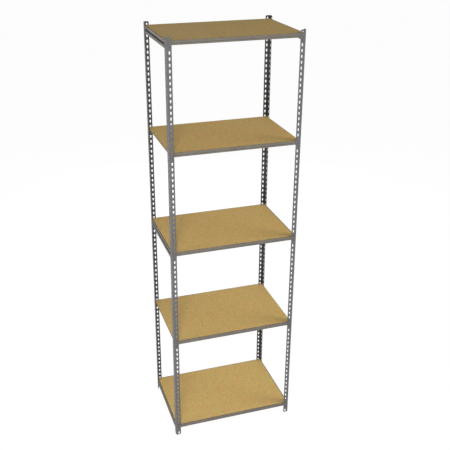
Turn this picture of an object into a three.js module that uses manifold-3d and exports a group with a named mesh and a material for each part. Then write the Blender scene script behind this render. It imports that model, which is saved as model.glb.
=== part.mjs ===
// Boltless steel shelving, five shelf levels: four slotted angle posts, beams that hook
// into the posts' keyhole slots by rivets, and a loose particle board deck on each level.
// Millimetres, +Z up, front towards -Y. The origin is on the floor, midway between the posts.

import * as THREE from 'three';
import { mergeVertices } from 'three/addons/utils/BufferGeometryUtils.js';
import Module from 'manifold-3d';

const wasm = await Module();
wasm.setup();

// ---- Driving dimensions ----------------------------------------------------------------

const UNIT_WIDTH = 930;            // outside of post to outside of post, along X
const UNIT_DEPTH = 626;            // outside of post to outside of post, along Y
const SLOT_PITCH = 38.1;           // 1.5 in between neighbouring slots
const SLOTS_PER_FLANGE = 80;
const POST_HEIGHT = SLOT_PITCH * SLOTS_PER_FLANGE;
const POST_FLANGE = 37;            // outside width of each leg of the angle
const POST_SHEET = 1.9;            // 14 gauge steel
const POST_CLIP = 6;               // clipped corner at the free edge, top and bottom

const SLOT_FROM_CORNER = 22;       // slot centre line, measured from the post's outside corner
const SLOT_DROP = 2;               // slot centres lie this far below the middle of their pitch
const SLOT_HEIGHT = 21.4;
const SLOT_TOP_WIDTH = 11;         // the rivet head passes here
const SLOT_FOOT_WIDTH = 8.8;       // the rivet shank is held here

const FIT_GAP = 0.3;               // running gap between touching pieces
const BEAM_SHEET = 1.6;            // 16 gauge steel
const BEAM_TOP = 73.6;             // heights below are above the level's datum slot centre
const LEDGE_TOP = 59;
const LEDGE_THICKNESS = 2 * BEAM_SHEET;
const LEDGE_WIDTH = 20;
const LONG_BEAM_FOOT = 46;         // underside of a front or back beam, between its end plates
const LONG_BEAM_KICK = 0.8;        // the lower wall leans inwards by this much
const LONG_PLATE_LENGTH = 31.5;    // a front or back beam's end plate stays behind the post
const SIDE_PLATE_LENGTH = 42;
const END_PLATE_FOOT = 22;         // underside of every end plate, and of a side beam
const END_PLATE_START = 4.3;       // from the outside corner of the post
const SIDE_SECTION_START = 25;     // the side beam's formed section stops this far from the corner
const CHANNEL_DEPTH = 11;          // the side beam is a channel, open to the outside
const CHANNEL_FOOT = 42.5;

const RIVET_SIDES = 8;
const RIVET_SHANK_RADIUS = 3.6;
const RIVET_HEAD_RADIUS = 5;
const RIVET_CROWN_RADIUS = 4;
const RIVET_HEAD_HEIGHT = 2;
const RIVET_REST_GAP = 0.4;        // between the shank and the foot of its slot

const DECK_WIDTH = 914;            // 36 in
const DECK_DEPTH = 610;            // 24 in
const DECK_THICKNESS = 15.9;       // 5/8 in particle board

// Each level hangs from two slots per post flange, above its datum slot (counted from the floor).
const LEVELS = [
  { name: 'bottom', datumSlot: 0, sideBeams: true },
  { name: 'lower', datumSlot: 20, sideBeams: false },
  { name: 'middle', datumSlot: 39, sideBeams: true },
  { name: 'upper', datumSlot: 58, sideBeams: false },
  { name: 'top', datumSlot: 77, sideBeams: true },
];
const HOOKED_SLOTS = [1, 2];       // slots above the datum that take the rivets

// ---- Materials -------------------------------------------------------------------------

const postPaint = new THREE.MeshStandardMaterial({ color: 0x77777a, roughness: 0.5, metalness: 0.35 });
const beamPaint = new THREE.MeshStandardMaterial({ color: 0x7f7c7c, roughness: 0.45, metalness: 0.35 });
const particleBoard = new THREE.MeshStandardMaterial({ color: 0xb4965c, roughness: 0.9, metalness: 0 });

// ---- Solid modelling helpers -----------------------------------------------------------

const MERGE_TOLERANCE = 1e-4;      // corners closer than this are one vertex

function toSolid(geometry) {
  const bare = geometry.clone();
  bare.deleteAttribute('normal');
  bare.deleteAttribute('uv');
  const merged = mergeVertices(bare, MERGE_TOLERANCE);
  return new wasm.Manifold(new wasm.Mesh({
    numProp: 3,
    vertProperties: new Float32Array(merged.attributes.position.array),
    triVerts: new Uint32Array(merged.index.array),
  }));
}

function toGeometry(solid) {
  const mesh = solid.getMesh();
  const geometry = new THREE.BufferGeometry();
  geometry.setAttribute('position', new THREE.BufferAttribute(new Float32Array(mesh.vertProperties), 3));
  geometry.setIndex(new THREE.BufferAttribute(new Uint32Array(mesh.triVerts), 1));
  geometry.computeVertexNormals();
  return geometry;
}

function joined(geometries) {
  const [first, ...others] = geometries.map(toSolid);
  return toGeometry(others.reduce((sum, solid) => sum.add(solid), first));
}

function shapeOf(points) {
  return new THREE.Shape(points.map(([x, y]) => new THREE.Vector2(x, y)));
}

// A flat plate in the XZ plane: the outline is (x, z), the sheet runs from y = front to y = back.
function uprightPlate(outline, front, back, holes = []) {
  const shape = shapeOf(outline);
  shape.holes = holes.map(points => new THREE.Path(points.map(([x, z]) => new THREE.Vector2(x, z))));
  const plate = new THREE.ExtrudeGeometry(shape, { depth: back - front, bevelEnabled: false });
  plate.rotateX(Math.PI / 2);
  plate.translate(0, back, 0);
  return plate;
}

// A formed section: the outline is (y, z), drawn out along X from start to end.
function formedSection(outline, start, end) {
  const section = new THREE.ExtrudeGeometry(shapeOf(outline), { depth: end - start, bevelEnabled: false });
  section.applyMatrix4(new THREE.Matrix4().makeBasis(
    new THREE.Vector3(0, 1, 0), new THREE.Vector3(0, 0, 1), new THREE.Vector3(1, 0, 0)));
  section.translate(start, 0, 0);
  return section;
}

// ---- Posts -----------------------------------------------------------------------------

function slotHeight(index) {
  return SLOT_PITCH * (index + 0.5) - SLOT_DROP;
}

function slotOutline(index) {
  const top = slotHeight(index) + SLOT_HEIGHT / 2;
  const foot = slotHeight(index) - SLOT_HEIGHT / 2;
  return [
    [SLOT_FROM_CORNER - SLOT_FOOT_WIDTH / 2, foot],
    [SLOT_FROM_CORNER - SLOT_TOP_WIDTH / 2, top],
    [SLOT_FROM_CORNER + SLOT_TOP_WIDTH / 2, top],
    [SLOT_FROM_CORNER + SLOT_FOOT_WIDTH / 2, foot],
  ];
}

function slottedFlange() {
  const outline = [
    [0, 0],
    [POST_FLANGE - POST_CLIP, 0],
    [POST_FLANGE, POST_CLIP],
    [POST_FLANGE, POST_HEIGHT - POST_CLIP],
    [POST_FLANGE - POST_CLIP, POST_HEIGHT],
    [0, POST_HEIGHT],
  ];
  const slots = Array.from({ length: SLOTS_PER_FLANGE }, (_, index) => slotOutline(index));
  return uprightPlate(outline, 0, POST_SHEET, slots);
}

// Outside corner at x = 0, y = 0; one flange runs to +X and the other to +Y.
function postGeometry() {
  const sideFlange = slottedFlange();
  sideFlange.rotateZ(Math.PI / 2);
  sideFlange.translate(POST_SHEET, 0, 0);
  return joined([slottedFlange(), sideFlange]);
}

// ---- Beams -----------------------------------------------------------------------------
// A beam is drawn along +X from the outside corner of its left post, with the outside of the
// post at y = 0 and heights measured from the level's datum slot centre.

const BEAM_FACE = POST_SHEET + FIT_GAP;          // outer face of every beam
const BEAM_BACK = BEAM_FACE + BEAM_SHEET;

function rivet(x, z) {
  const profile = [
    [0, -FIT_GAP - RIVET_HEAD_HEIGHT],
    [RIVET_CROWN_RADIUS, -FIT_GAP - RIVET_HEAD_HEIGHT],
    [RIVET_HEAD_RADIUS, -FIT_GAP],
    [RIVET_SHANK_RADIUS, -FIT_GAP],
    [RIVET_SHANK_RADIUS, BEAM_FACE + BEAM_SHEET / 2],
    [0, BEAM_FACE + BEAM_SHEET / 2],
  ];
  const body = new THREE.LatheGeometry(profile.map(([r, y]) => new THREE.Vector2(r, y)), RIVET_SIDES);
  body.translate(x, 0, z);
  return body;
}

function rivets(span) {
  const heights = HOOKED_SLOTS.map(slot =>
    slot * SLOT_PITCH - SLOT_HEIGHT / 2 + RIVET_SHANK_RADIUS + RIVET_REST_GAP);
  const places = [SLOT_FROM_CORNER, span - SLOT_FROM_CORNER];
  return places.flatMap(x => heights.map(z => rivet(x, z)));
}

function mirrored(outline, span) {
  return outline.map(([x, z]) => [span - x, z]).reverse();
}

function endPlates(length, span) {
  const end = END_PLATE_START + length;
  const plate = [
    [END_PLATE_START, END_PLATE_FOOT],
    [end, END_PLATE_FOOT],
    [end, BEAM_TOP],
    [END_PLATE_START, BEAM_TOP],
  ];
  return [plate, mirrored(plate, span)].map(outline => uprightPlate(outline, BEAM_FACE, BEAM_BACK));
}

// Front and back beam: low wall and ledge, with end plates that reach further down.
function longBeamGeometry(span) {
  const lean = BEAM_FACE + LONG_BEAM_KICK;
  const section = [
    [BEAM_FACE, BEAM_TOP],
    [BEAM_FACE, LEDGE_TOP - LEDGE_THICKNESS],
    [lean, LONG_BEAM_FOOT],
    [lean + BEAM_SHEET, LONG_BEAM_FOOT],
    [BEAM_BACK, LEDGE_TOP - LEDGE_THICKNESS],
    [BEAM_FACE + LEDGE_WIDTH, LEDGE_TOP - LEDGE_THICKNESS],
    [BEAM_FACE + LEDGE_WIDTH, LEDGE_TOP],
    [BEAM_BACK, LEDGE_TOP],
    [BEAM_BACK, BEAM_TOP],
  ];
  return joined([
    formedSection(section, END_PLATE_START, span - END_PLATE_START),
    ...endPlates(LONG_PLATE_LENGTH, span),
    ...rivets(span),
  ]);
}

// Side beam: full height, folded into a channel under its ledge.
function sideBeamGeometry(span) {
  const channelBack = BEAM_FACE + CHANNEL_DEPTH;
  const section = [
    [BEAM_FACE, BEAM_TOP],
    [BEAM_FACE, LEDGE_TOP - LEDGE_THICKNESS],
    [channelBack, LEDGE_TOP - LEDGE_THICKNESS],
    [channelBack, CHANNEL_FOOT],
    [BEAM_FACE, CHANNEL_FOOT],
    [BEAM_FACE, END_PLATE_FOOT],
    [BEAM_BACK, END_PLATE_FOOT],
    [BEAM_BACK, CHANNEL_FOOT - BEAM_SHEET],
    [channelBack + BEAM_SHEET, CHANNEL_FOOT - BEAM_SHEET],
    [channelBack + BEAM_SHEET, LEDGE_TOP - LEDGE_THICKNESS],
    [BEAM_FACE + LEDGE_WIDTH, LEDGE_TOP - LEDGE_THICKNESS],
    [BEAM_FACE + LEDGE_WIDTH, LEDGE_TOP],
    [BEAM_BACK, LEDGE_TOP],
    [BEAM_BACK, BEAM_TOP],
  ];
  return joined([
    formedSection(section, SIDE_SECTION_START, span - SIDE_SECTION_START),
    ...endPlates(SIDE_PLATE_LENGTH, span),
    ...rivets(span),
  ]);
}

// ---- Assembly --------------------------------------------------------------------------
// Each corner or side of the unit is the same drawing turned about Z.

const group = new THREE.Group();

function place(name, geometry, material, x, y, z, turn) {
  const mesh = new THREE.Mesh(geometry, material);
  mesh.name = name;
  mesh.position.set(x, y, z);
  mesh.rotation.z = turn;
  group.add(mesh);
}

const halfWidth = UNIT_WIDTH / 2;
const halfDepth = UNIT_DEPTH / 2;
const quarterTurn = Math.PI / 2;

const post = postGeometry();
place('post_front_left', post, postPaint, -halfWidth, -halfDepth, 0, 0);
place('post_front_right', post, postPaint, halfWidth, -halfDepth, 0, quarterTurn);
place('post_back_right', post, postPaint, halfWidth, halfDepth, 0, 2 * quarterTurn);
place('post_back_left', post, postPaint, -halfWidth, halfDepth, 0, 3 * quarterTurn);

const longBeam = longBeamGeometry(UNIT_WIDTH);
const sideBeam = sideBeamGeometry(UNIT_DEPTH);
const deck = new THREE.BoxGeometry(DECK_WIDTH, DECK_DEPTH, DECK_THICKNESS);
const deckCentre = LEDGE_TOP + FIT_GAP + DECK_THICKNESS / 2;

for (const level of LEVELS) {
  const datum = slotHeight(level.datumSlot);
  place(`beam_front_${level.name}`, longBeam, beamPaint, -halfWidth, -halfDepth, datum, 0);
  place(`beam_back_${level.name}`, longBeam, beamPaint, halfWidth, halfDepth, datum, 2 * quarterTurn);
  if (level.sideBeams) {
    place(`beam_right_${level.name}`, sideBeam, beamPaint, halfWidth, -halfDepth, datum, quarterTurn);
    place(`beam_left_${level.name}`, sideBeam, beamPaint, -halfWidth, halfDepth, datum, 3 * quarterTurn);
  }
  place(`deck_${level.name}`, deck, particleBoard, 0, 0, datum + deckCentre, 0);
}

export default group;
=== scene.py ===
import math
import random

import bpy
import numpy as np
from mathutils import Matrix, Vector


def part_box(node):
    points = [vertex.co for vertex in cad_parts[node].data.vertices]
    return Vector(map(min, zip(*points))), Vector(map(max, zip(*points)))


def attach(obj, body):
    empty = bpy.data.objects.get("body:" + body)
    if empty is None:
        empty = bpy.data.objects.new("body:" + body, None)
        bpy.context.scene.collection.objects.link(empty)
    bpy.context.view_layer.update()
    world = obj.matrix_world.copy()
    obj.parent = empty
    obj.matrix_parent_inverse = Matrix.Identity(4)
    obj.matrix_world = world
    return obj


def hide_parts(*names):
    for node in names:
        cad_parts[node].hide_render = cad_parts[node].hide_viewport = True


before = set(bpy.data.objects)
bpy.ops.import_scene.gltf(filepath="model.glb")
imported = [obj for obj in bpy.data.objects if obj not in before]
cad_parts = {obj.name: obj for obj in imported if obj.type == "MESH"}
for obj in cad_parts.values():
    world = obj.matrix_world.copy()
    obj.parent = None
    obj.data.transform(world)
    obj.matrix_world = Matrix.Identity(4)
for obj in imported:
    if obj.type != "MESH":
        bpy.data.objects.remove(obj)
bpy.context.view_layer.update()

# Boltless steel shelving. Shapes are drawn in millimetres and written out in metres.
# A post is drawn from its outside corner, one flange along +X and one along +Y. A beam is
# drawn along +X from the outside corner of its left post, outside of the post at y = 0,
# with z measured from the level's datum slot centre.

MM = 0.001
LEVELS = ("bottom", "lower", "middle", "upper", "top")
LEVELS_WITH_SIDE_BEAMS = ("bottom", "middle", "top")

# ---- Post dimensions -------------------------------------------------------------------

SLOT_PITCH = 38.1
SLOTS = 80
POST_FLANGE = 37.0
POST_SHEET = 1.9
POST_BEND = 3.0            # outside radius of the corner
POST_CLIP = 6.0
SLOT_FROM_CORNER = 22.0
SLOT_DROP = 2.0            # slot centres lie this far below the middle of their pitch
SLOT_HEAD_RADIUS = 5.5
SLOT_FOOT_RADIUS = 4.4
SLOT_HEIGHT = 21.4
STRIP_END = 7.0            # plain strip between the bend and the slotted cells
PUNCHED_EDGE = 0.3         # rounding of cut and punched edges
RIM_WEAR = 0.3             # how rubbed the posts' cut edges are; the beams' are fully so
SHARP_FOLD = 35.0          # degrees between faces from which a steel edge looks sharp

# ---- Beam dimensions -------------------------------------------------------------------

BEAM_SHEET = 1.6
BEAM_FACE = 2.2
BEAM_MIDDLE = BEAM_FACE + BEAM_SHEET / 2
BEAM_TOP = 73.6
BEAM_FOOT = 22.0
LEDGE_TOP = 59.0
LEDGE_WIDTH = 20.0
LONG_BEAM_FOOT = 46.0
LONG_BEAM_KICK = 0.8
PLATE_START = 4.3
FOLD = 1.6                 # middle radius of a right-angle bend
HEM = 0.9                  # middle radius of the flattened hem
LONG_PLATE_END = 35.8
CHANNEL_DEPTH = 11.0
CHANNEL_FOOT = 42.5
CHANNEL_TIGHTER = 0.3      # the bend into the channel has a middle radius this much smaller
SIDE_PLATE_LENGTH = 42.0
SIDE_LEDGE_START = 25.0    # clear of the ledges of the long beams
PLATE_CORNER = 2.5         # radius of the end plates' corners
RIVET_REST = 4.0           # rivet centres above the foot of their slots

# ---- Small mesh tools ------------------------------------------------------------------


def unit_corners():
    low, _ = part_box("post_front_left")
    _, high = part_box("post_back_right")
    return low.x / MM, low.y / MM, high.x / MM, high.y / MM


LEFT, FRONT, RIGHT, BACK = unit_corners()
# where each corner's drawing starts, and its quarter turns about Z
CORNERS = {
    "front": (LEFT, FRONT, 0),
    "right": (RIGHT, FRONT, 1),
    "back": (RIGHT, BACK, 2),
    "left": (LEFT, BACK, 3),
}


def turned(points, corner, lift):
    """Points in a corner's own drawing, in millimetres, to metres in the frame."""
    x0, y0, quarters = CORNERS[corner]
    c, s = ((1, 0), (0, 1), (-1, 0), (0, -1))[quarters]
    p = np.asarray(points, float)
    x, y, z = p[:, 0], p[:, 1], p[:, 2]
    return np.column_stack((x0 + c * x - s * y, y0 + s * x + c * y, z + lift)) * MM


class Draft:
    """Collects closed shells for one piece: points, faces, and each face's material."""

    def __init__(self):
        self.points, self.faces, self.slots, self.edge = [], [], [], []
        self.count = 0

    def add(self, points, faces, slots, edge):
        points = np.asarray(points, float)
        volume = 0.0
        for f in faces:
            for i in range(1, len(f) - 1):
                volume += np.dot(points[f[0]], np.cross(points[f[i]], points[f[i + 1]]))
        if volume < 0:
            faces = [tuple(reversed(f)) for f in faces]
        self.points.append(points)
        self.faces += [tuple(i + self.count for i in f) for f in faces]
        self.slots += slots
        self.edge += list(edge)
        self.count += len(points)

    def piece(self, name, corner, lift, materials, body, nodes, finish):
        points = turned(np.concatenate(self.points), corner, lift)
        make_piece(name, points, self.faces, self.slots, self.edge, materials, body, nodes,
                   SHARP_FOLD)


def make_piece(name, points, faces, slots, edge, materials, body, nodes, sharp):
    """Makes one visible piece: its mesh, the body it rides and the nodes it stands for."""
    mesh = bpy.data.meshes.new(name)
    mesh.from_pydata([tuple(p) for p in points], [], faces)
    for material in materials:
        mesh.materials.append(material)
    mesh.polygons.foreach_set("material_index", slots)
    worn = mesh.attributes.new("worn", "FLOAT", "POINT")
    worn.data.foreach_set("value", np.asarray(edge, dtype=np.float32))
    mesh.shade_smooth()
    mesh.set_sharp_from_angle(angle=math.radians(sharp))
    mesh.update()
    piece = bpy.data.objects.new(name, mesh)
    bpy.context.scene.collection.objects.link(piece)
    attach(piece, body)
    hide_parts(*nodes)


def thick_sheet(draft, flat, faces, fold, thickness, slots=(0, 1, 0), wear=1.0):
    """Thickens a flat pattern into a folded sheet with eased edges.

    flat holds the pattern's points, fold(points, depth) gives their place in the drawing at
    a depth below the outer face, slots are the materials of outside, inside and rim, and
    wear is how rubbed the rim is, from 0 to 1."""
    flat = np.asarray(flat, float)
    directed = dict.fromkeys((a, b) for f in faces for a, b in zip(f, f[1:] + f[:1]))
    border = [(a, b) for a, b in directed if (b, a) not in directed]
    pull = np.zeros_like(flat)
    for a, b in border:
        d = flat[b] - flat[a]
        n = np.array((-d[1], d[0])) / np.hypot(*d)
        pull[a] += n
        pull[b] += n
    rim = sorted({a for a, _ in border})
    # a point of the rim moves so that both of its edges move in by PUNCHED_EDGE
    scale = 2 / np.maximum((pull[rim] ** 2).sum(1), 0.5)
    eased = flat.copy()
    eased[rim] += PUNCHED_EDGE * pull[rim] * scale[:, None]
    n, m = len(flat), len(rim)
    at = {v: i for i, v in enumerate(rim)}
    points = np.concatenate((
        fold(eased, 0.0),
        fold(eased, thickness),
        fold(flat[rim], PUNCHED_EDGE),
        fold(flat[rim], thickness - PUNCHED_EDGE),
    ))
    out, kinds = [], []
    for f in faces:
        out.append(tuple(f))
        out.append(tuple(n + i for i in reversed(f)))
        kinds += [slots[0], slots[1]]
    for a, b in border:
        high_a, high_b = 2 * n + at[a], 2 * n + at[b]
        low_a, low_b = high_a + m, high_b + m
        out += [(b, a, high_a, high_b), (high_b, high_a, low_a, low_b),
                (low_b, low_a, n + a, n + b)]
        kinds += [slots[2]] * 3
    worn = np.concatenate((np.zeros(2 * n), np.full(2 * m, wear)))
    draft.add(points, out, kinds, worn)


# ---- Posts -----------------------------------------------------------------------------

# A flange is a column of cells with a slot in each. Points in a cell are (across, along)
# from its slot's centre, clockwise from the top.
HALF_BEND = POST_BEND * math.pi / 4
BEND_STEPS = (-1.0, -0.5, 0.0, 0.5, 1.0)
CELL_HALF_WIDTH = POST_FLANGE - SLOT_FROM_CORNER
CELL_TOP = SLOT_PITCH / 2 + SLOT_DROP
CELL_FOOT = SLOT_DROP - SLOT_PITCH / 2
CELL_SIDE = (12.0, 6.0, 2.0, -5.0, -10.0)   # heights of the points along a cell's sides
HEAD_STEPS = 5
FOOT_STEPS = 4
RING = 2 * (HEAD_STEPS + FOOT_STEPS + 1)    # points round a slot


def keyhole():
    """Slot outline: a wide round head above a narrow round foot, clockwise from the top."""
    head = SLOT_HEIGHT / 2 - SLOT_HEAD_RADIUS
    foot = SLOT_FOOT_RADIUS - SLOT_HEIGHT / 2
    tilt = math.asin((SLOT_HEAD_RADIUS - SLOT_FOOT_RADIUS) / (head - foot))
    half = []
    for i in range(HEAD_STEPS + 1):
        a = math.pi / 2 - (math.pi / 2 + tilt) * i / HEAD_STEPS
        half.append((SLOT_HEAD_RADIUS * math.cos(a), head + SLOT_HEAD_RADIUS * math.sin(a)))
    for i in range(FOOT_STEPS + 1):
        a = -tilt - (math.pi / 2 - tilt) * i / FOOT_STEPS
        half.append((SLOT_FOOT_RADIUS * math.cos(a), foot + SLOT_FOOT_RADIUS * math.sin(a)))
    return half + [(-x, z) for x, z in reversed(half[1:-1])]


def cell_outline(first, last):
    """Outline points that pair with the keyhole's, with the free corner clipped at the ends."""
    w, top, foot = CELL_HALF_WIDTH, CELL_TOP, CELL_FOOT
    half = [(0, top), (w / 2, top), (w, top), *((w, z) for z in CELL_SIDE),
            (w, foot), (w / 2, foot), (0, foot)]
    outline = half + [(-x, z) for x, z in reversed(half[1:-1])]
    clip = POST_CLIP
    if last:
        outline[1:4] = (w - clip, top), (w - clip / 2, top - clip / 2), (w, top - clip)
    if first:
        outline[7:10] = (w, foot + clip), (w - clip / 2, foot + clip / 2), (w - clip, foot)
    return outline


def fold_post(flat, depth):
    """Folds the post's pattern around its corner, one flange along +X and one along +Y."""
    s, z = flat[:, 0], flat[:, 1]
    turn = np.clip(s / POST_BEND, -math.pi / 4, math.pi / 4)
    normal = turn - 3 * math.pi / 4
    straight = s - turn * POST_BEND
    reach = POST_BEND - depth
    x = POST_BEND + reach * np.cos(normal) + np.maximum(straight, 0)
    y = POST_BEND + reach * np.sin(normal) + np.maximum(-straight, 0)
    return np.column_stack((x, y, z))


def post_pattern():
    """The post before it is folded: points (around the corner, height) and faces."""
    index, flat, faces = {}, [], []

    def vertex(s, z):
        key = (round(s, 3), round(z, 3))
        if key not in index:
            index[key] = len(flat)
            flat.append((s, z))
        return index[key]

    hole = keyhole()
    slot_line = HALF_BEND + SLOT_FROM_CORNER - POST_BEND
    strip = HALF_BEND + STRIP_END - POST_BEND
    lines = (-strip, *(HALF_BEND * b for b in BEND_STEPS), strip)
    rows = (CELL_FOOT, *reversed(CELL_SIDE), CELL_TOP)
    for k in range(SLOTS):
        middle = SLOT_PITCH * (k + 0.5) - SLOT_DROP
        for low, high in zip(rows, rows[1:]):
            for a, b in zip(lines, lines[1:]):
                faces.append((vertex(a, middle + low), vertex(b, middle + low),
                              vertex(b, middle + high), vertex(a, middle + high)))
        outline = cell_outline(k == 0, k == SLOTS - 1)
        for side in (1, -1):
            outer, inner = ([vertex(side * (slot_line + x), middle + z) for x, z in points]
                            for points in (outline, hole))
            for i in range(RING):
                j = (i + 1) % RING
                quad = (outer[i], inner[i], inner[j], outer[j])
                faces.append(quad if side > 0 else tuple(reversed(quad)))
    return flat, faces


def make_posts(materials):
    flat, faces = post_pattern()
    draft = Draft()
    thick_sheet(draft, flat, faces, fold_post, POST_SHEET, (0, 1, 2), RIM_WEAR)
    for corner, node in (("front", "post_front_left"), ("right", "post_front_right"),
                         ("back", "post_back_right"), ("left", "post_back_left")):
        draft.piece("slotted_" + node, corner, 0.0, materials, "uprights", [node], "post_paint")


# ---- Beams -----------------------------------------------------------------------------

# A beam's pattern is a grid: rows run along the beam, and columns down its section.
BEND_STEP = 26             # degrees of bend for each row of points
SETTLE = 80.0              # columns nearer than this to an end are stretched to its shape
MIDDLE_START = 100.0       # the evenly spaced columns begin this far from the ends
LONG_MIDDLE_STEPS = 12
SIDE_MIDDLE_STEPS = 8
CORNER_COLUMNS = (0.0, 0.25, 0.7, 1.4, PLATE_CORNER)
PLATE_COLUMNS = (12.0, 22.0)
PAST_PLATE = 0.1           # a long beam's foot steps up to the wall's this far past its plate
KICK_START = 45.0          # a long beam's wall begins to lean here, and leans fully from
KICK_END = 85.0            # here on
KICK_COLUMNS = (58.0, 70.0)
SIDE_COLUMN = 60.0
TOP_SHARES = (0.0, 0.5)    # rows of a long beam's lip, from its top edge to its fold
FOOT_SHARES = (0.35, 0.7, 1.0)   # rows of its wall, from the fold to its foot
CORNER_STEPS = 4           # steps of the arc at a side beam's plate corner
WALL_RUN = 40.0            # drawn longer than the end plates reach; the foot rows end it
MITRE = 1.15               # the ledge starts this much further in for each mm of its depth
PLATE_GAP = 0.25           # between a side beam's lip and wall and its end plates
LEDGE_BREAK = 2.6          # the side beams' ledge has a row of points this far along
SET_BACK = 1.0             # rows this much further in than the lip's fold are the ledge's
STRAIGHT_LIP = BEAM_TOP - (LEDGE_TOP - BEAM_SHEET / 2 + FOLD)
FLAT_LEDGE = LEDGE_WIDTH + BEAM_FACE - BEAM_MIDDLE - FOLD - HEM - BEAM_SHEET / 2


def section(start, moves):
    """A formed section as rows: developed length, middle line (y, z) and heading in radians.

    moves are ("line", length) and ("bend", radius, degrees), starting downwards."""
    y, z = start
    heading = -math.pi / 2
    length = 0.0
    rows = [(0.0, y, z, heading)]
    for move in moves:
        if move[0] == "line":
            length += move[1]
            y += move[1] * math.cos(heading)
            z += move[1] * math.sin(heading)
            rows.append((length, y, z, heading))
            continue
        _, radius, degrees = move
        turn = math.radians(degrees)
        steps = max(4, round(abs(degrees) / BEND_STEP))
        side = math.copysign(1, turn)
        cy = y - side * radius * math.sin(heading)
        cz = z + side * radius * math.cos(heading)
        for i in range(1, steps + 1):
            a = heading + turn * i / steps
            rows.append((length + radius * abs(turn) * i / steps,
                         cy + side * radius * math.sin(a), cz - side * radius * math.cos(a), a))
        length += radius * abs(turn)
        y, z, heading = rows[-1][1:]
    return np.array(rows)


def folder(rows, thickness, lean=None):
    """The fold that bends a flat pattern (along the beam, developed length) to a section."""
    s, y, z, a = rows.T
    ny, nz = np.sin(a), -np.cos(a)

    def fold(flat, depth):
        at = flat[:, 1]
        off = thickness / 2 - depth
        yy = np.interp(at, s, y) + np.interp(at, s, ny) * off
        zz = np.interp(at, s, z) + np.interp(at, s, nz) * off
        if lean is not None:
            yy = yy + lean(flat[:, 0], zz)
        return np.column_stack((flat[:, 0], yy, zz))

    return fold


def stretched(x, start, span, first):
    """Moves a column so that its row begins at start instead of first, and ends alike."""
    if x < SETTLE:
        return start + (x - first) * (SETTLE - start) / (SETTLE - first)
    if x > span - SETTLE:
        return span - stretched(span - x, start, span, first)
    return x


def grid_faces(n_rows, n_columns):
    """Faces of a grid of points that are numbered row by row."""
    corners = [(i * n_columns + j, (i + 1) * n_columns + j)
               for i in range(n_rows - 1) for j in range(n_columns - 1)]
    return [(a, b, b + 1, a + 1) for a, b in corners]


def eased_corner(x, start, radius):
    """How far a corner of this radius is rounded off at x."""
    d = max(0.0, start + radius - x)
    return radius - math.sqrt(max(0.0, radius * radius - d * d))


def both_ends(columns, span, steps):
    """These columns, evenly spaced ones between, and the same columns from the other end."""
    first, last = MIDDLE_START, span - MIDDLE_START
    middle = [first + (last - first) * i / steps for i in range(steps + 1)]
    return columns + middle + [span - x for x in reversed(columns)]


RIVET_HEIGHTS = [slot * SLOT_PITCH - SLOT_HEIGHT / 2 + RIVET_REST for slot in (1, 2)]
RIVET_PROFILE = (           # radius, depth behind the outside of the post
    (0.0, -2.3), (1.5, -2.24), (2.8, -1.98), (3.9, -1.52), (4.6, -0.98), (4.95, -0.5),
    (4.9, -0.32), (3.6, -0.3), (3.6, 3.82), (4.6, 3.85), (4.65, 4.25), (4.2, 4.75),
    (2.6, 5.05), (0.0, 5.1),
)
RIVET_SEGMENTS = 24


def add_rivet(draft, x, z):
    """A rivet turned about its own axis, with its head in front of the post."""
    points, faces = [], []
    rings = []
    for radius, depth in RIVET_PROFILE:
        if radius == 0.0:
            rings.append([len(points)])
            points.append((x, depth, z))
            continue
        ring = []
        for k in range(RIVET_SEGMENTS):
            a = 2 * math.pi * k / RIVET_SEGMENTS
            ring.append(len(points))
            points.append((x + radius * math.cos(a), depth, z + radius * math.sin(a)))
        rings.append(ring)
    for low, high in zip(rings, rings[1:]):
        for k in range(RIVET_SEGMENTS):
            n = (k + 1) % RIVET_SEGMENTS
            if len(low) == 1:
                faces.append((low[0], high[k], high[n]))
            elif len(high) == 1:
                faces.append((low[k], high[0], low[n]))
            else:
                faces.append((low[k], high[k], high[n], low[n]))
    draft.add(points, faces, [2] * len(faces), [0.0] * len(points))


def add_rivets(draft, span):
    for x in (SLOT_FROM_CORNER, span - SLOT_FROM_CORNER):
        for z in RIVET_HEIGHTS:
            add_rivet(draft, x, z)


def long_beam_foot(x):
    """Underside of a long beam at a distance from its end."""
    if x <= PLATE_START + PLATE_CORNER:
        return BEAM_FOOT + eased_corner(x, PLATE_START, PLATE_CORNER)
    if x <= LONG_PLATE_END:
        return BEAM_FOOT + eased_corner(-x, -LONG_PLATE_END, PLATE_CORNER)
    return LONG_BEAM_FOOT


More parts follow.
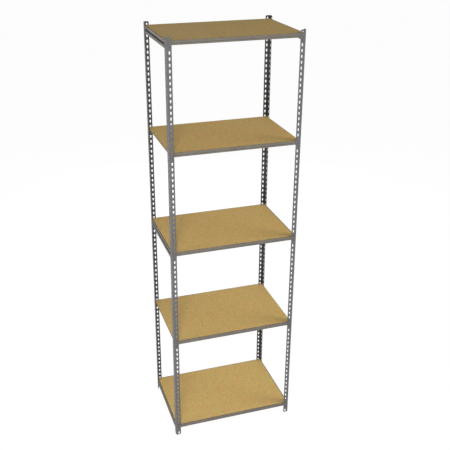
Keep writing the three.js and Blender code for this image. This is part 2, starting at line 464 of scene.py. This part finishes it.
def long_beam(span):
    """A front or back beam. Its wall leans in a little between the end plates."""
    rows = section((BEAM_MIDDLE, BEAM_TOP), [
        ("line", STRAIGHT_LIP), ("bend", FOLD, 90), ("line", FLAT_LEDGE), ("bend", HEM, -180),
        ("line", FLAT_LEDGE), ("bend", FOLD, 90), ("line", WALL_RUN)])
    lip_end = rows[1][0]
    wall_start, _, wall_top, _ = rows[-2]

    def lean(x, z):
        away = np.minimum(x, span - x)
        blend = np.clip((away - KICK_START) / (KICK_END - KICK_START), 0, 1)
        return LONG_BEAM_KICK * blend * np.clip((wall_top - z) / (wall_top - LONG_BEAM_FOOT), 0, 1)

    ends = [PLATE_START + d for d in (*CORNER_COLUMNS, *PLATE_COLUMNS)]
    ends += [LONG_PLATE_END - d for d in (*reversed(CORNER_COLUMNS), -PAST_PLATE)]
    ends += [KICK_START, *KICK_COLUMNS, KICK_END]
    columns = both_ends(ends, span, LONG_MIDDLE_STEPS)
    from_end = [min(x, span - x) for x in columns]
    flat = []
    for share in TOP_SHARES:
        for x, near in zip(columns, from_end):
            high = eased_corner(near, PLATE_START, PLATE_CORNER)
            flat.append((x, high + share * (lip_end - high)))
    for s, y, _, _ in rows[1:-1]:
        start = PLATE_START + max(0.0, y - BEAM_MIDDLE) * MITRE
        flat += [(stretched(x, start, span, PLATE_START), s) for x in columns]
    for share in FOOT_SHARES:
        for x, near in zip(columns, from_end):
            flat.append((x, wall_start + share * (wall_top - long_beam_foot(near))))
    faces = grid_faces(len(flat) // len(columns), len(columns))
    draft = Draft()
    thick_sheet(draft, flat, faces, folder(rows, BEAM_SHEET, lean), BEAM_SHEET)
    add_rivets(draft, span)
    return draft


def rounded_plate(x0, x1, z0, z1, radius):
    """Outline of a plate with rounded corners, counter-clockwise from its lower right."""
    points = []
    for cx, cz, begin in ((x1 - radius, z0 + radius, -90), (x1 - radius, z1 - radius, 0),
                          (x0 + radius, z1 - radius, 90), (x0 + radius, z0 + radius, 180)):
        for i in range(CORNER_STEPS + 1):
            a = math.radians(begin + 90 * i / CORNER_STEPS)
            points.append((cx + radius * math.cos(a), cz + radius * math.sin(a)))
    return points


def side_beam(span):
    """A left or right beam, with a channel open to the outside below its lip."""
    channel_top = LEDGE_TOP - BEAM_SHEET / 2 - 2 * HEM
    channel_foot = CHANNEL_FOOT - BEAM_SHEET / 2
    rows = section((BEAM_MIDDLE, BEAM_TOP), [
        ("line", STRAIGHT_LIP), ("bend", FOLD, 90),
        ("line", LEDGE_BREAK), ("line", FLAT_LEDGE - LEDGE_BREAK), ("bend", HEM, -180),
        ("line", FLAT_LEDGE - CHANNEL_DEPTH + CHANNEL_TIGHTER), ("bend", FOLD - CHANNEL_TIGHTER, 90),
        ("line", channel_top - channel_foot - 2 * FOLD + CHANNEL_TIGHTER), ("bend", FOLD, -90),
        ("line", CHANNEL_DEPTH - 2 * FOLD), ("bend", FOLD, 90),
        ("line", channel_foot - FOLD - BEAM_FOOT)])
    plate_end = PLATE_START + SIDE_PLATE_LENGTH
    columns = both_ends([plate_end, SIDE_COLUMN, SETTLE], span, SIDE_MIDDLE_STEPS)
    flat = []
    for s, y, _, _ in rows:
        start = SIDE_LEDGE_START if y > BEAM_MIDDLE + FOLD + SET_BACK else plate_end + PLATE_GAP
        flat += [(stretched(x, start, span, plate_end), s) for x in columns]
    draft = Draft()
    faces = grid_faces(len(rows), len(columns))
    thick_sheet(draft, flat, faces, folder(rows, BEAM_SHEET), BEAM_SHEET)

    def stand(flat_points, depth):
        """Stands a flat plate up behind the outside of the post."""
        return np.column_stack((flat_points[:, 0], np.full(len(flat_points), BEAM_FACE + depth),
                                flat_points[:, 1]))

    for x0, x1 in ((PLATE_START, plate_end), (span - plate_end, span - PLATE_START)):
        outline = rounded_plate(x0, x1, BEAM_FOOT, BEAM_TOP, PLATE_CORNER)
        thick_sheet(draft, outline, [tuple(range(len(outline)))], stand, BEAM_SHEET)
    add_rivets(draft, span)
    return draft


def make_beams(materials):
    long_draft = long_beam(RIGHT - LEFT)
    side_draft = side_beam(BACK - FRONT)
    for level in LEVELS:
        drafts = {"front": long_draft, "back": long_draft}
        if level in LEVELS_WITH_SIDE_BEAMS:
            drafts |= {"right": side_draft, "left": side_draft}
        for side, draft in drafts.items():
            node = f"beam_{side}_{level}"
            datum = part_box(node)[0].z / MM - BEAM_FOOT
            draft.piece("riveted_" + node, side, datum, materials, "shelf_" + level, [node],
                        "beam_paint")


# ---- Decks -----------------------------------------------------------------------------

BOARD_BORDER = 12.0        # the chipped edges are joined to a straight line this far in
BOARD_HEART = 60.0         # inside this the face is one plain rectangle
FACE_STRIPS = (0, 4)       # of the strips between a board's six rings, those on its faces
CHIP_SPACING = 6.0
CHIP_SLOPE = 0.8           # a chip is this much as deep as it is wide
SMALL_CHIPS = (0.25, 0.6)  # least and greatest width
LARGE_CHIPS = (0.7, 1.7)
SMALL_SHARE = 0.86         # of all chips
CHIP_SEED = 7
SHARP_SAWN = 25.0          # degrees between faces from which a board's edge looks sharp


def chip_width(rng):
    return rng.uniform(*(SMALL_CHIPS if rng.random() < SMALL_SHARE else LARGE_CHIPS))


def rectangle(low, high, inset):
    return [(low[0] + inset, low[1] + inset), (high[0] - inset, low[1] + inset),
            (high[0] - inset, high[1] - inset), (low[0] + inset, high[1] - inset)]


def around(corners, counts):
    """Points along the sides of a rectangle, counts[side] of them on each, from its corner on."""
    sides = zip(corners, corners[1:] + corners[:1], counts)
    return [(ax + (bx - ax) * i / count, ay + (by - ay) * i / count)
            for (ax, ay), (bx, by), count in sides for i in range(count)]


def board_heart(ring, counts, heart):
    """Joins each side's straight border to the two nearest corners of the heart, and fills it."""
    faces = [tuple(heart)]
    start = 0
    for side, count in enumerate(counts):
        run = [ring[k % len(ring)] for k in range(start, start + count + 1)]
        near, far = heart[side], heart[(side + 1) % 4]
        faces += [(a, b, near if i < count // 2 else far)
                  for i, (a, b) in enumerate(zip(run, run[1:]))]
        faces.append((run[count // 2], far, near))
        start += count
    return faces


def make_deck(level, materials, rng):
    """A loose board: crisp faces, with the small chips that a saw leaves along its edges."""
    node = "deck_" + level
    low, high = (np.array(corner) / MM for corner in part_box(node))
    counts = [round(side / CHIP_SPACING) for side in (high[0] - low[0], high[1] - low[1])] * 2
    outline, border = (around(rectangle(low, high, inset), counts) for inset in (0.0, BOARD_BORDER))
    n = len(outline)
    middle = (low + high) / 2
    upper = [chip_width(rng) for _ in outline]
    lower = [chip_width(rng) for _ in outline]

    def bitten(cuts):
        """The outline with each point moved in by its cut, square to the sides that it lies on."""
        moved = []
        for (x, y), cut in zip(outline, cuts):
            on_end, on_side = x in (low[0], high[0]), y in (low[1], high[1])
            moved.append((x + cut * math.copysign(on_end, middle[0] - x),
                          y + cut * math.copysign(on_side, middle[1] - y)))
        return moved

    points, faces, slots, rings = [], [], [], []
    for places, heights in (
        (border, [high[2]] * n),
        (bitten(upper), [high[2]] * n),
        (outline, [high[2] - CHIP_SLOPE * cut for cut in upper]),
        (outline, [low[2] + CHIP_SLOPE * cut for cut in lower]),
        (bitten(lower), [low[2]] * n),
        (border, [low[2]] * n),
    ):
        rings.append(range(len(points), len(points) + n))
        points += [(x, y, z) for (x, y), z in zip(places, heights)]
    for row, (a, b) in enumerate(zip(rings, rings[1:])):
        for k in range(n):
            m = (k + 1) % n
            faces.append((a[k], b[k], b[m], a[m]))
            slots.append(0 if row in FACE_STRIPS else 1)
    for ring, z, turn in ((rings[0], high[2], 1), (rings[-1], low[2], -1)):
        heart = range(len(points), len(points) + 4)
        points += [(x, y, z) for x, y in rectangle(low, high, BOARD_HEART)]
        cap = [face[::turn] for face in board_heart(ring, counts, heart)]
        faces += cap
        slots += [0] * len(cap)
    make_piece("board_" + level, np.array(points) * MM, faces, slots, np.zeros(len(points)),
               materials, "board_" + level, [node], SHARP_SAWN)


# ---- Materials -------------------------------------------------------------------------

BARE_STEEL = (0.30, 0.29, 0.28)
BOARD_FACE_STOPS = ((0.22, (0.325, 0.202, 0.061)), (0.42, (0.497, 0.332, 0.114)),
                    (0.60, (0.577, 0.409, 0.154)), (0.82, (0.668, 0.507, 0.242)))
BOARD_TINT_STOPS = ((0.34, (1.0, 0.93, 0.86)), (0.5, (0.97, 0.97, 0.95)),
                    (0.66, (0.93, 1.0, 0.9)))
DARK_FLAKE = (0.25, 0.14, 0.045)
# the sawn edge's colour, kept darker than the face as painted shade of the narrow gap between a
# board and the beam lips
BOARD_EDGE_PAINTED_SHADE_STOPS = ((0.2, (0.105, 0.075, 0.043)), (0.5, (0.197, 0.146, 0.087)),
                    (0.8, (0.300, 0.230, 0.143)))
CORE_VOID = (0.035, 0.022, 0.012)
FLOOR_STOPS = ((0.3, 0.050), (0.7, 0.055))
FLOOR_GLOW = 0.96
WHITE = (1.0, 1.0, 1.0, 1.0)


def shaded(colour, share):
    return tuple(c * share for c in colour)


class Nodes:
    """A material's node tree, with a short name for each kind of node that it needs."""

    def __init__(self, name):
        self.material = bpy.data.materials.new(name)
        self.material.use_nodes = True
        self.tree = self.material.node_tree
        self.tree.nodes.clear()
        self.output = self.add("ShaderNodeOutputMaterial")
        self.shader = self.add("ShaderNodeBsdfPrincipled")
        self.link(self.shader.outputs[0], self.output.inputs[0])
        self.place = self.add("ShaderNodeTexCoord").outputs["Object"]

    def add(self, kind, **settings):
        made = self.tree.nodes.new(kind)
        for key, value in settings.items():
            setattr(made, key, value)
        return made

    def link(self, a, b):
        self.tree.links.new(a, b)

    def scaled(self, scale, rotation=(0, 0, 0)):
        mapping = self.add("ShaderNodeMapping")
        mapping.inputs["Scale"].default_value = scale
        mapping.inputs["Rotation"].default_value = rotation
        self.link(self.place, mapping.inputs["Vector"])
        return mapping.outputs[0]

    def noise(self, vector, scale, detail, roughness):
        made = self.add("ShaderNodeTexNoise")
        self.link(vector, made.inputs["Vector"])
        for key, value in (("Scale", scale), ("Detail", detail), ("Roughness", roughness)):
            made.inputs[key].default_value = value
        return made.outputs["Fac"]

    def cells(self, vector, scale=1.0):
        made = self.add("ShaderNodeTexVoronoi")
        self.link(vector, made.inputs["Vector"])
        made.inputs["Scale"].default_value = scale
        return made

    def ramp(self, value, stops):
        made = self.add("ShaderNodeValToRGB")
        elements = made.color_ramp.elements
        while len(elements) < len(stops):
            elements.new(0.5)
        for element, (position, colour) in zip(elements, stops):
            element.position = position
            rgb = colour if isinstance(colour, tuple) else (colour, colour, colour)
            element.color = (*rgb, 1.0)
        self.link(value, made.inputs[0])
        return made.outputs["Color"]

    def mix(self, kind, factor, a, b):
        made = self.add("ShaderNodeMix", data_type="RGBA", blend_type=kind)
        ends = (made.inputs["Factor"], factor), (made.inputs[6], a), (made.inputs[7], b)
        for socket, value in ends:
            if isinstance(value, bpy.types.NodeSocket):
                self.link(value, socket)
            elif isinstance(value, tuple):
                socket.default_value = (*value, 1.0)
            else:
                socket.default_value = value
        return made.outputs[2]

    def spread(self, value, low, high, out_low, out_high):
        made = self.add("ShaderNodeMapRange")
        self.link(value, made.inputs["Value"])
        ranges = {"From Min": low, "From Max": high, "To Min": out_low, "To Max": out_high}
        for key, number in ranges.items():
            made.inputs[key].default_value = number
        return made.outputs[0]

    def bump(self, height, strength, distance):
        made = self.add("ShaderNodeBump")
        made.inputs["Strength"].default_value = strength
        made.inputs["Distance"].default_value = distance
        self.link(height, made.inputs["Height"])
        self.link(made.outputs[0], self.shader.inputs["Normal"])

    def worn(self):
        return self.add("ShaderNodeAttribute", attribute_name="worn").outputs["Fac"]


def painted_steel(name, colour, dark, roughness):
    """Baked enamel: orange peel, faint clouding, fine scratches, dust specks, rubbed edges."""
    n = Nodes(name)
    clouds = n.noise(n.place, scale=9.0, detail=4.0, roughness=0.55)
    drift = n.noise(n.scaled((30.0, 30.0, 3.0)), scale=1.0, detail=3.0, roughness=0.6)
    shade = n.mix("MIX", n.spread(clouds, 0.3, 0.7, 0.0, 1.0), dark, colour)
    shade = n.mix("MULTIPLY", 0.35, shade, n.ramp(drift, ((0.3, 0.72), (0.65, 1.0))))
    streaks = n.scaled((600.0, 600.0, 14.0), (0.2, 0.1, 0.4))
    scratches = n.noise(streaks, scale=1.0, detail=2.0, roughness=0.7)
    marks = n.ramp(scratches, ((0.70, 0.0), (0.76, 1.0)))
    pale = tuple(min(1.0, c * 1.7 + 0.03) for c in colour)
    shade = n.mix("MIX", n.mix("MULTIPLY", 1.0, marks, n.ramp(clouds, ((0.45, 0.0), (0.7, 0.35)))),
                  shade, pale)
    specks = n.cells(n.place, 420.0)
    dots = n.ramp(specks.outputs["Distance"], ((0.06, 1.0), (0.10, 0.0)))
    shade = n.mix("MIX", n.mix("MULTIPLY", 1.0, dots, n.ramp(drift, ((0.5, 0.0), (0.75, 0.5)))),
                  shade, shaded(colour, 0.45))
    rub = n.noise(n.place, scale=160.0, detail=3.0, roughness=0.6)
    bare = n.mix("MULTIPLY", 1.0, n.worn(), n.ramp(rub, ((0.42, 0.0), (0.62, 0.85))))
    shade = n.mix("MIX", bare, shade, BARE_STEEL)
    n.link(shade, n.shader.inputs["Base Color"])
    n.link(n.spread(clouds, 0.3, 0.7, *roughness), n.shader.inputs["Roughness"])
    n.shader.inputs["Specular IOR Level"].default_value = 0.45
    peel = n.noise(n.place, scale=520.0, detail=2.0, roughness=0.5)
    n.bump(peel, strength=0.16, distance=0.0004)
    return n.material


def board_face(name):
    """Sanded particle board: small flakes lying every way, fine dust between, soft clouds."""
    n = Nodes(name)
    flakes = None
    for angle, size in ((0.35, 150.0), (-1.05, 190.0), (1.5, 230.0)):
        cells = n.cells(n.scaled((size, size * 2.3, size), (0, 0, angle)))
        split = n.add("ShaderNodeSeparateColor")
        n.link(cells.outputs["Color"], split.inputs[0])
        value = split.outputs[0]
        flakes = value if flakes is None else n.mix("MIX", 0.45, flakes, value)
    dust = n.noise(n.place, scale=900.0, detail=3.0, roughness=0.65)
    grain = n.mix("MIX", 0.35, flakes, dust)
    colour = n.ramp(grain, BOARD_FACE_STOPS)
    clouds = n.noise(n.scaled((1.0, 1.0, 1.0), (0, 0, 0.6)), scale=14.0, detail=4.0, roughness=0.55)
    colour = n.mix("MULTIPLY", 0.8, colour, n.ramp(clouds, BOARD_TINT_STOPS))
    dark = n.cells(n.scaled((75.0, 160.0, 75.0), (0, 0, 0.9)))
    rare = n.ramp(dark.outputs["Distance"], ((0.07, 1.0), (0.16, 0.0)))
    colour = n.mix("MIX", n.mix("MULTIPLY", 1.0, rare, (0.5, 0.5, 0.5)), colour, DARK_FLAKE)
    n.link(colour, n.shader.inputs["Base Color"])
    n.link(n.spread(grain, 0.2, 0.8, 0.9, 0.72), n.shader.inputs["Roughness"])
    n.shader.inputs["Specular IOR Level"].default_value = 0.25
    n.bump(grain, strength=0.25, distance=0.0004)
    return n.material


def board_edge(name):
    """Sawn edge: coarse flakes seen end on, with small dark voids in the core; its colours are
    darkened as painted shade.
    """
    n = Nodes(name)
    cells = n.cells(n.scaled((210.0, 210.0, 520.0)))
    split = n.add("ShaderNodeSeparateColor")
    n.link(cells.outputs["Color"], split.inputs[0])
    dust = n.noise(n.place, scale=1100.0, detail=3.0, roughness=0.7)
    grain = n.mix("MIX", 0.4, split.outputs[1], dust)
    colour = n.ramp(grain, BOARD_EDGE_PAINTED_SHADE_STOPS)
    holes = n.noise(n.scaled((330.0, 330.0, 560.0)), scale=1.0, detail=2.0, roughness=0.6)
    voids = n.ramp(holes, ((0.66, 0.0), (0.72, 1.0)))
    colour = n.mix("MIX", voids, colour, CORE_VOID)
    n.link(colour, n.shader.inputs["Base Color"])
    n.shader.inputs["Roughness"].default_value = 0.92
    n.shader.inputs["Specular IOR Level"].default_value = 0.2
    n.bump(n.mix("SUBTRACT", 1.0, grain, voids), strength=0.5, distance=0.0008)
    return n.material


def studio_floor(name):
    """A floor that glows nearly as white as the studio. Its dark colour keeps shadows faint."""
    n = Nodes(name)
    soft = n.noise(n.place, scale=0.6, detail=2.0, roughness=0.5)
    n.link(n.ramp(soft, FLOOR_STOPS), n.shader.inputs["Base Color"])
    n.shader.inputs["Roughness"].default_value = 0.9
    n.shader.inputs["Specular IOR Level"].default_value = 0.1
    n.shader.inputs["Emission Color"].default_value = WHITE
    n.shader.inputs["Emission Strength"].default_value = FLOOR_GLOW
    return n.material


# ---- Stage, lights and camera ----------------------------------------------------------

FLOOR_SIZE = 160.0
WORLD_LIGHT = 0.24


def make_floor():
    half = FLOOR_SIZE / 2
    mesh = bpy.data.meshes.new("studio_floor")
    corners = [(-half, -half, 0), (half, -half, 0), (half, half, 0), (-half, half, 0)]
    mesh.from_pydata(corners, [], [(0, 1, 2, 3)])
    mesh.materials.append(studio_floor("studio_floor"))
    floor = bpy.data.objects.new("studio_floor", mesh)
    bpy.context.scene.collection.objects.link(floor)


def make_world():
    """White to look at, gentler as a light."""
    world = bpy.data.worlds.new("studio")
    bpy.context.scene.world = world
    world.use_nodes = True
    tree = world.node_tree
    tree.nodes.clear()
    path = tree.nodes.new("ShaderNodeLightPath")
    lit = tree.nodes.new("ShaderNodeBackground")
    seen = tree.nodes.new("ShaderNodeBackground")
    lit.inputs["Strength"].default_value = WORLD_LIGHT
    lit.inputs["Color"].default_value = WHITE
    seen.inputs["Color"].default_value = WHITE
    mix = tree.nodes.new("ShaderNodeMixShader")
    output = tree.nodes.new("ShaderNodeOutputWorld")
    tree.links.new(path.outputs["Is Camera Ray"], mix.inputs[0])
    tree.links.new(lit.outputs[0], mix.inputs[1])
    tree.links.new(seen.outputs[0], mix.inputs[2])
    tree.links.new(mix.outputs[0], output.inputs[0])


def area_light(name, place, target, size, watts):
    data = bpy.data.lights.new(name, "AREA")
    data.shape = "DISK"
    data.size = size
    data.energy = watts
    light = bpy.data.objects.new(name, data)
    light.location = place
    light.rotation_mode = "QUATERNION"
    light.rotation_quaternion = (Vector(target) - Vector(place)).to_track_quat("-Z", "Y")
    bpy.context.scene.collection.objects.link(light)


LIGHTS = (   # name, place, target, size, watts
    ("left_key_softbox", (-2.0, -5.0, 4.0), (0.0, 0.0, 1.4), 1.6, 210.0),
    ("right_key_softbox", (5.0, -2.5, 4.0), (0.0, 0.0, 1.4), 4.0, 240.0),
    ("low_front_fill", (-3.2, -4.6, 0.5), (0.0, 0.0, 1.0), 1.6, 220.0),
    ("left_softbox", (-6.5, -1.0, 3.6), (0.0, 0.0, 1.4), 2.6, 100.0),
    ("back_fill", (1.0, 6.5, 4.0), (0.0, 0.0, 1.5), 3.0, 40.0),
    ("low_back_fill", (1.6, 5.6, 0.9), (0.0, 0.0, 1.2), 2.4, 70.0),
)

CAMERA_PLACE = (-1.516, -4.635, 3.843)
CAMERA_PITCH = 23.78       # degrees below the horizon
CAMERA_YAW = 17.61         # degrees towards +X from +Y
FRAME_PIXELS = 450
FOCAL_PIXELS = 722.6
SENSOR = 36.0
CAMERA_SHIFT = (0.0202, -0.0282)
CAMERA_REACH = 400.0


def make_camera():
    data = bpy.data.cameras.new("camera")
    data.sensor_width = SENSOR
    data.lens = FOCAL_PIXELS / FRAME_PIXELS * SENSOR
    data.shift_x, data.shift_y = CAMERA_SHIFT
    data.clip_end = CAMERA_REACH
    camera = bpy.data.objects.new("camera", data)
    camera.location = CAMERA_PLACE
    camera.rotation_euler = (math.radians(90 - CAMERA_PITCH), 0.0, -math.radians(CAMERA_YAW))
    bpy.context.scene.collection.objects.link(camera)
    bpy.context.scene.camera = camera


# ---- Build -----------------------------------------------------------------------------

POST_GREY = (0.076, 0.076, 0.078)
BEAM_GREY = (0.104, 0.092, 0.077)
ENAMEL = (0.36, 0.52)      # roughness, from and to
DULL = (0.5, 0.7)
SMOOTH = (0.3, 0.42)
# name, colour, colour of the clouds, roughness: for outside, inside and rim of the posts,
# and for outside, inside and rivets of the beams. The darker inside and rim colours are painted
# shade.
POST_PAINTS = (
    ("post_enamel", POST_GREY, shaded(POST_GREY, 0.86), ENAMEL),
    # darker than the outside paint: painted shade on the posts' inner faces
    ("post_enamel_inside_painted_shade", (0.035, 0.033, 0.031), (0.022, 0.021, 0.020), DULL),
    # darker than the outside paint: painted shade on the slot walls and cut edges
    ("post_enamel_rim_painted_shade", (0.042, 0.042, 0.043), (0.034, 0.034, 0.035), ENAMEL),
)
BEAM_PAINTS = (
    ("beam_enamel", BEAM_GREY, shaded(BEAM_GREY, 0.88), ENAMEL),
    # darker than the outside paint: painted shade on the beams' inner faces
    ("beam_enamel_inside_painted_shade", (0.064, 0.055, 0.044), (0.046, 0.039, 0.031), DULL),
    ("rivet_enamel", (0.102, 0.093, 0.083), (0.088, 0.081, 0.072), SMOOTH),
)

make_camera()
make_floor()
make_world()
for light in LIGHTS:
    area_light(*light)
bpy.context.scene.view_settings.view_transform = "Standard"

make_posts([painted_steel(*paint) for paint in POST_PAINTS])
make_beams([painted_steel(*paint) for paint in BEAM_PAINTS])
board_materials = [board_face("particle_board_face"), board_edge("particle_board_edge_painted_shade")]
rng = random.Random(CHIP_SEED)
for level in LEVELS:
    make_deck(level, board_materials, rng)
